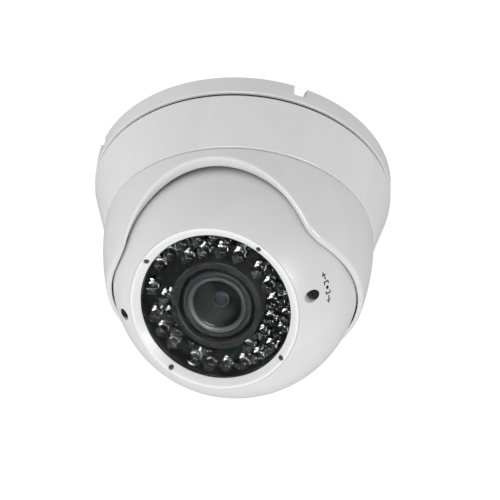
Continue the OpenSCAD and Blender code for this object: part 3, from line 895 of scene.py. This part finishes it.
@dataclass
class WindowGroup:
    """The bezel, the flat window and what is seen just behind it."""

    glass_low: float = 31.6
    glass_top: float = 33.2

    def build(self) -> None:
        """Adds the bezel, window and lens hood."""
        bezel = rounded([
            (28.5, self.glass_top, 0), (32.0, self.glass_top, 0), (32.0, 35.68, 0.45), (30.8, 35.68, 0.6),
            (29.0, 33.95, 0.5), (28.5, 33.5, 0.15)], 8)
        mesh = raw_mesh("bezel", revolve(bezel, 240).moved(ball_axes()))
        holes = joined(on_circle(rod(1.0, 32.1, 40, 32), 30.35, (45, 135, 225, 315))).moved(ball_axes())
        mesh = combined("window_bezel_skin", mesh, holes, "DIFFERENCE")
        Piece("window_bezel_skin", "ball", "white_bezel", "white_bezel", ("window_bezel",), 40).show(mesh)
        pane = rounded([(0, self.glass_low, 0), (29.2, self.glass_low, 0.2), (29.2, self.glass_top, 0.2),
                        (0, self.glass_top, 0)])
        in_ball(Piece("window_pane", "ball", "window", "window", ("window_glass",)), pane, 200)
        # a thin black sheet laid on the seat's inner wall, which makes that wall inside the window black
        wall_sheet = rounded([(27.94, 23.6, 0), (28.16, 23.6, 0), (28.16, self.glass_low - 0.02, 0),
                         (27.94, self.glass_low - 0.02, 0.08)])
        in_ball(Piece("seat_wall_black_sheet", "ball", "black_rubber", "black_rubber"), wall_sheet, 200)
        hood = rounded([
            (14.5, 22.2, 0), (16.6, 22.2, 0), (16.6, 24.6, 0.3), (17.2, self.glass_low, 0.35),
            (14.7, self.glass_low, 0.5), (14.5, 29.3, 0.2)], 8)
        in_ball(Piece("lens_hood_skin", "ball", "hood_rubber", "black_rubber", ("lens_hood",)), hood)


@dataclass
class FrontGroup:
    """The front lens cell, its retaining ring, the front element and what shows through it."""

    tip: float = 30.6

    def build(self) -> None:
        """Adds the pieces that move with the focus ring."""
        tip, step = self.tip, np.linspace(0, 1, 40)
        cell = rounded([
            (10.9, tip - 4, 0), (10.9, tip - 0.9, 0), (11.5, tip - 0.9, 0.1), (11.6, tip - 0.05, 0.15),
            (12.75, tip - 0.1, 0.25), (13.1, tip - 0.6, 0.2), (13.1, 23, 0.1), (11.54, 23, 0.05),
            (11.54, 14, 0.1), (9.8, 14, 0.1), (9.8, tip - 4, 0)], 8)
        in_ball(Piece("front_cell_skin", "front_group", "anodised", "anodised", ("front_cell",)), cell)
        ring = rounded([(9.32, tip - 1.4, 0), (10.88, tip - 1.4, 0), (10.88, tip - 0.1, 0.12),
                        (10.2, tip - 0.05, 0.15),
                        (9.5, tip - 0.5, 0.15), (9.32, tip - 0.8, 0.05)], 8)
        mesh = raw_mesh("ring", revolve(ring, 160).moved(ball_axes()))
        pits = joined(on_circle(rod(0.35, tip - 0.8, 40, 20), 10.25, (70, 250))).moved(ball_axes())
        mesh = combined("retaining_ring_skin", mesh, pits, "DIFFERENCE")
        skin = Piece("retaining_ring_skin", "front_group", "bright_anodised", "anodised", ("front_cell_ring",))
        skin.show(mesh)
        dome = np.stack([9.3 * step, tip - 31.2 + np.sqrt(31.0**2 - (9.3 * step) ** 2)], -1)
        back = np.array([(9.3, tip - 3.0), (0, tip - 3.0)])
        glass = Piece("front_element_skin", "front_group", "optical_glass", "optical_glass", ("front_element",))
        in_ball(glass, np.vstack([dome, back]))
        self.depths()

    def depths(self) -> None:
        """Adds the dark inner face, the small second lens in it and that lens's rim, whose lopsided satin ring
        is a painted reflection of a crescent of light.
        """
        tip, step = self.tip, np.linspace(0, 1, 40)
        well = np.stack([9.75 * step, tip - 7.3 + 3.2 * step**2], -1)
        under = np.array([(9.75, tip - 9.0), (0, tip - 9.0)])
        face = Piece("inner_lens_face", "front_group", "lens_well", "optical_glass")
        in_ball(face, np.vstack([well, under]))
        bulb = np.stack([2.2 * step, tip - 6.9 + 0.9 * np.sqrt(1 - (0.95 * step) ** 2)], -1)
        in_ball(Piece("inner_lens_bulb", "front_group", "lens_coat", "optical_glass"),
                np.vstack([bulb, [(2.2, tip - 7.5), (0, tip - 7.5)]]), 96)
        # the lopsided rim is a painted reflection: its thick side stands for a crescent of light in the lens
        Piece("inner_lens_painted_crescent", "front_group", "painted_crescent_rim", "anodised").show(
            raw_mesh("inner_lens_painted_crescent", self.rim().moved(ball_axes())))

    def rim(self) -> Surface:
        """The rim of the second lens: a ring that is thick on one side and thin on the other, a painted
        reflection whose thick side stands in for a crescent of light in the lens.

        Its section is a circle of radius 0.05 + 0.24 s^2, where s runs from 0 to 1 round the ring.

        Returns:
            The closed ring in the ball's clocked axes.
        """
        turn, section = np.meshgrid(np.radians(np.arange(0, 360, 4)), np.radians(np.arange(0, 360, 15)))
        thick = 0.05 + 0.24 * ((1 + np.cos(turn + 0.15)) / 2) ** 2
        r, z = 2.62 + thick * np.cos(section), self.tip - 6.4 + thick * np.sin(section)
        points = np.stack([r * np.cos(turn), r * np.sin(turn), z], -1).reshape(-1, 3)
        return Surface(points, (lattice(*turn.shape, True)[:, ::-1],))


def lamp_turns(groups: Sequence[tuple[float, int]], pitch: float) -> list[float]:
    """Where the lamps of a ring stand.

    Args:
        groups: Turn of the first lamp and number of lamps of each group.
        pitch: Turn between two lamps.

    Returns:
        Every lamp's turn in degrees.
    """
    return [start + k * pitch for start, count in groups for k in range(count)]


@dataclass
class LampRing:
    """One ring of infrared lamps."""

    name: str
    node: str
    radius: float
    turns: list[float]
    foot: float = 22.2

    def build(self) -> None:
        """Adds the clear bodies, the reflector cups, the leads and the dies."""
        foot, t = self.foot, np.radians(np.linspace(0, 90, 14))
        dome = np.stack([2.5 * np.cos(t), foot + 6.2 + 2.5 * np.sin(t)], -1)
        body = np.vstack([rounded([(0, foot + 0.05, 0), (2.72, foot + 0.05, 0.05), (2.72, foot + 1.0, 0.12),
                                   (2.5, foot + 1.1, 0)])[:-1], dome])
        cup = np.array([(0, 0.3), (0.42, 0.3), (0.5, 0.4), (0.9, 1.15), (0.98, 1.15), (0.62, 0.3),
                        (0.5, 0), (0, 0)])
        cup = revolve(cup[::-1] + np.array([0, foot + 2.9]), 40)
        leads = joined([
            block((-0.25, -0.2, foot + 0.1), (0.25, 0.2, foot + 2.95)),
            block((1.3, -0.18, foot + 0.1), (1.7, 0.18, foot + 3.6)),
            block((1.15, -0.25, foot + 3.3), (1.7, 0.25, foot + 3.6))])
        die = block((-0.2, -0.2, foot + 3.18), (0.2, 0.2, foot + 3.35))
        axes = ball_axes()
        for part, suffix, finish, stands in (
            (revolve(body, 40), "bodies", "led_epoxy", (self.node,)),
            (cup, "cups", "led_cup", ()),
            (leads, "leads", "led_lead", ()),
            (die, "dies", "led_die", ()),
        ):
            ring = joined([part.moved(turned(turn, (self.radius, 0, 0)) @ turned(97.0 * i))
                           for i, turn in enumerate(self.turns)])
            piece = Piece(f"{self.name}_{suffix}", "ball", finish, "led_epoxy", stands)
            piece.show(raw_mesh(piece.name, ring.moved(axes)))


@dataclass
class FocusMark:
    """A printed focus symbol beside the focus adjuster: a framed dot between two arrows."""

    radius: float = 48.03
    thick: float = 0.02

    def build(self) -> None:
        """Adds the mark, laid on the ball as a thin film of ink."""
        shapes: list[Array] = []
        for side in (-1, 1):
            shapes.append(self.bar(side * 2.25, 0.0, 0.27, 1.3))
            for level in (-1, 1):
                shapes.append(self.bar(side * 1.8, level * 1.05, 0.6, 0.25))
            shapes.append(self.bar(side * 4.0, 0.0, 0.9, 0.27))
            head = np.array([(6.3, 0.0), (4.7, -1.25), (4.7, 1.25), (5.2, 0.0)])
            shapes.append(head * (side, 1))
        t = np.radians(np.linspace(0, 360, 25)[:-1])
        shapes.append(np.stack([0.7 * np.cos(t), 0.7 * np.sin(t)], -1))
        parts = [self.laid(s) for s in shapes]
        piece = Piece("focus_mark", "ball", "mark_ink", "black_plastic")
        piece.show(raw_mesh(piece.name, joined(parts).moved(ball_axes())))

    def bar(self, x: float, y: float, half_x: float, half_y: float) -> Array:
        """A rectangle as an outline.

        Args:
            x: Its middle along the mark.
            y: Its middle across the mark.
            half_x: Half its length.
            half_y: Half its height.

        Returns:
            Its corners.
        """
        return np.array([(x - half_x, y - half_y), (x + half_x, y - half_y),
                         (x + half_x, y + half_y), (x - half_x, y + half_y)])

    def laid(self, outline: Array) -> Surface:
        """Lays an outline on the ball beside the focus hole.

        Args:
            outline: Points along and across the mark, in millimetres.

        Returns:
            A thin closed slab in the ball's clocked axes.
        """
        along, across = outline[:, 0] / BALL_R, outline[:, 1] / BALL_R
        polar, turn = math.radians(58.9), math.radians(0.6)
        lean = polar + across
        round_ = turn + along / np.sin(polar)
        unit = np.stack([np.sin(lean) * np.cos(round_), np.sin(lean) * np.sin(round_), np.cos(lean)], -1)
        count = len(outline)
        points = np.vstack([unit * self.radius, unit * (self.radius - self.thick)])
        k = np.arange(count)
        sides = np.stack([k, (k + 1) % count, (k + 1) % count + count, k + count], -1)
        return Surface(points, (k[None], (k[::-1] + count)[None], sides))


NODES_BY_FINISH: dict[str, str] = {
    "black_rubber": "ceiling_gasket housing_seal rear_grommet ball_seal window_gasket",
    "black_plastic": "cable_gland gland_nut spindle_bushes lens_mount focus_spindle zoom_spindle",
    "steel": "lock_screw tilt_pins shell_screws led_board_screws frame_screws board_screws",
    "acetal": "pan_glide_ring tilt_washers tilt_bushes",
    "spring_steel": "pan_circlip",
    "black_steel": "bezel_screws",
    "board_black": "led_board",
    "sensor_epoxy": "light_sensor",
    "anodised": "lens_barrel zoom_cell",
    "optical_glass": "rear_element zoom_element",
    "frame_alloy": "module_frame",
    "filter_glass": "ir_cut_filter",
    "sensor_die": "image_sensor",
    "board_green": "sensor_board main_board",
    "brass": "sensor_spacers board_spacers",
    "chip": "board_chips",
    "connector": "board_connectors",
    "grey_plastic": "focus_ring zoom_ring",
}


def finish_cad_nodes() -> None:
    """Gives every CAD node that stays in view its finish."""
    for finish, names in NODES_BY_FINISH.items():
        for name in names.split():
            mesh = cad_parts[name].data
            mesh.materials.clear()
            mesh.materials.append(PALETTE.get(finish))


@dataclass
class Studio:
    """Pale surroundings, soft light and the camera."""

    lens_mm: float = 102.3
    distance: float = 0.552
    azimuth: float = 23.02
    elevation: float = -38.91
    roll: float = 4.08
    aim: tuple[float, float, float] = (0.00667, -0.00385, -0.03988)
    base: float = 1.09
    lean: tuple[float, float, float] = (-0.33, 0.40, -0.20)
    most: float = 1.24
    dim: float = 0.22
    through: float = 0.75

    def build(self) -> None:
        """Adds the world, the lights, the floor and the camera."""
        self.world()
        self.light("spark_left", (0.20, -0.74, -0.60), 0.34, 6.0)
        self.light("spark_right", (0.82, -0.30, -0.55), 0.34, 6.0)
        self.floor()
        self.camera()

    def world(self) -> None:
        """A white surround that lights the object more from one side.

        Seen straight it is plain white. Its light from a direction is base plus the dot product of
        that direction and lean, and never above most. Mirror-like surfaces get the share called dim
        of it, and what is seen through glass gets the share called through.
        """
        world = bpy.data.worlds.new("surround")
        world.use_nodes = True
        nodes, link = world.node_tree.nodes, world.node_tree.links.new
        show, lit = nodes["Background"], nodes.new("ShaderNodeBackground")
        for background, strength in ((show, 1.05), (lit, self.base)):
            background.inputs[0].default_value = (1, 1, 1, 1)
            background.inputs[1].default_value = strength
        dot = nodes.new("ShaderNodeVectorMath")
        dot.operation = "DOT_PRODUCT"
        dot.inputs[1].default_value = self.lean
        link(nodes.new("ShaderNodeTexCoord").outputs["Generated"], dot.inputs[0])
        path = nodes.new("ShaderNodeLightPath").outputs
        share = self.sum("MULTIPLY_ADD", nodes, link, path["Is Glossy Ray"], self.dim - 1.0, 1.0)
        share = self.sum("MULTIPLY_ADD", nodes, link, path["Is Transmission Ray"], self.through - 1.0, share)
        total = self.sum("ADD", nodes, link, dot.outputs["Value"], self.base)
        total = self.sum("MINIMUM", nodes, link, total, self.most)
        link(self.sum("MULTIPLY", nodes, link, total, share), lit.inputs[1])
        mix = nodes.new("ShaderNodeMixShader")
        link(path["Is Camera Ray"], mix.inputs[0])
        link(lit.outputs[0], mix.inputs[1])
        link(show.outputs[0], mix.inputs[2])
        link(mix.outputs[0], nodes["World Output"].inputs[0])
        bpy.context.scene.world = world
        bpy.context.scene.view_settings.view_transform = "Standard"

    def sum(self, operation: str, nodes: bpy.types.Nodes, link: Callable[..., object],
            *terms: bpy.types.NodeSocket | float) -> bpy.types.NodeSocket:
        """Adds one arithmetic node of any operation.

        Args:
            operation: What it does.
            nodes: Where it is made.
            link: Joins two sockets.
            terms: Its inputs, as sockets or numbers.

        Returns:
            Its result.
        """
        node = nodes.new("ShaderNodeMath")
        node.operation = operation
        for term, socket in zip(terms, node.inputs):
            if isinstance(term, float):
                socket.default_value = term
            else:
                link(term, socket)
        return node.outputs[0]

    def light(self, name: str, place: Sequence[float], size: float, power: float) -> None:
        """Adds a square light that faces the object and shows only as a glint in its surfaces.

        Args:
            name: Its name.
            place: Where it stands.
            size: Side of the square.
            power: Its power in watts.
        """
        data = bpy.data.lights.new(name, "AREA")
        data.shape, data.size, data.energy = "SQUARE", size, power
        lamp = bpy.data.objects.new(name, data)
        lamp.location = place
        lamp.rotation_mode = "QUATERNION"
        lamp.rotation_quaternion = (Vector(self.aim) - Vector(place)).to_track_quat("-Z", "Y")
        lamp.visible_diffuse = False
        bpy.context.scene.collection.objects.link(lamp)

    def floor(self) -> None:
        """Adds a pale floor well below the camera, which keeps the surround's light."""
        half = 60.0
        mesh = bpy.data.meshes.new("floor")
        corners = [(-half, -half, -0.9), (half, -half, -0.9), (half, half, -0.9), (-half, half, -0.9)]
        mesh.from_pydata(corners, [], [(0, 1, 2, 3)])
        mesh.materials.append(PALETTE.get("floor"))
        floor = bpy.data.objects.new("floor", mesh)
        bpy.context.scene.collection.objects.link(floor)
        floor.visible_diffuse = floor.visible_glossy = floor.visible_transmission = False

    def camera(self) -> None:
        """Adds the camera below the object, looking up at it."""
        a, e = math.radians(self.azimuth), math.radians(self.elevation)
        back = Vector((math.sin(a) * math.cos(e), -math.cos(a) * math.cos(e), math.sin(e)))
        data = bpy.data.cameras.new("camera")
        data.lens, data.sensor_width = self.lens_mm, 36.0
        data.clip_start, data.clip_end = 0.01, 200.0
        camera = bpy.data.objects.new("camera", data)
        camera.rotation_mode = "QUATERNION"
        turn = (-back).to_track_quat("-Z", "Y").to_matrix() @ Matrix.Rotation(math.radians(self.roll), 3, "Z")
        camera.rotation_quaternion = turn.to_quaternion()
        camera.location = Vector(self.aim) + back * self.distance
        bpy.context.scene.collection.objects.link(camera)
        bpy.context.scene.camera = camera


def main() -> None:
    """Builds the whole scene."""
    logging.basicConfig(level=logging.INFO)
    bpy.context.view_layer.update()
    CeilingBase().build()
    PanShroud().build()
    TiltBall().build()
    WindowGroup().build()
    FrontGroup().build()
    outer = lamp_turns([(237, 6), (327, 5), (67, 6), (161, 1), (186, 3)], 14.3)
    inner = lamp_turns([(56, 4), (315, 5), (293, 1), (247, 1), (170, 4)], 18.9)
    LampRing("outer_lamps", "outer_ir_leds", 25.4, outer).build()
    LampRing("inner_lamps", "inner_ir_leds", 20.2, inner).build()
    FocusMark().build()
    finish_cad_nodes()
    Studio().build()


if __name__ == "__main__":
    main()
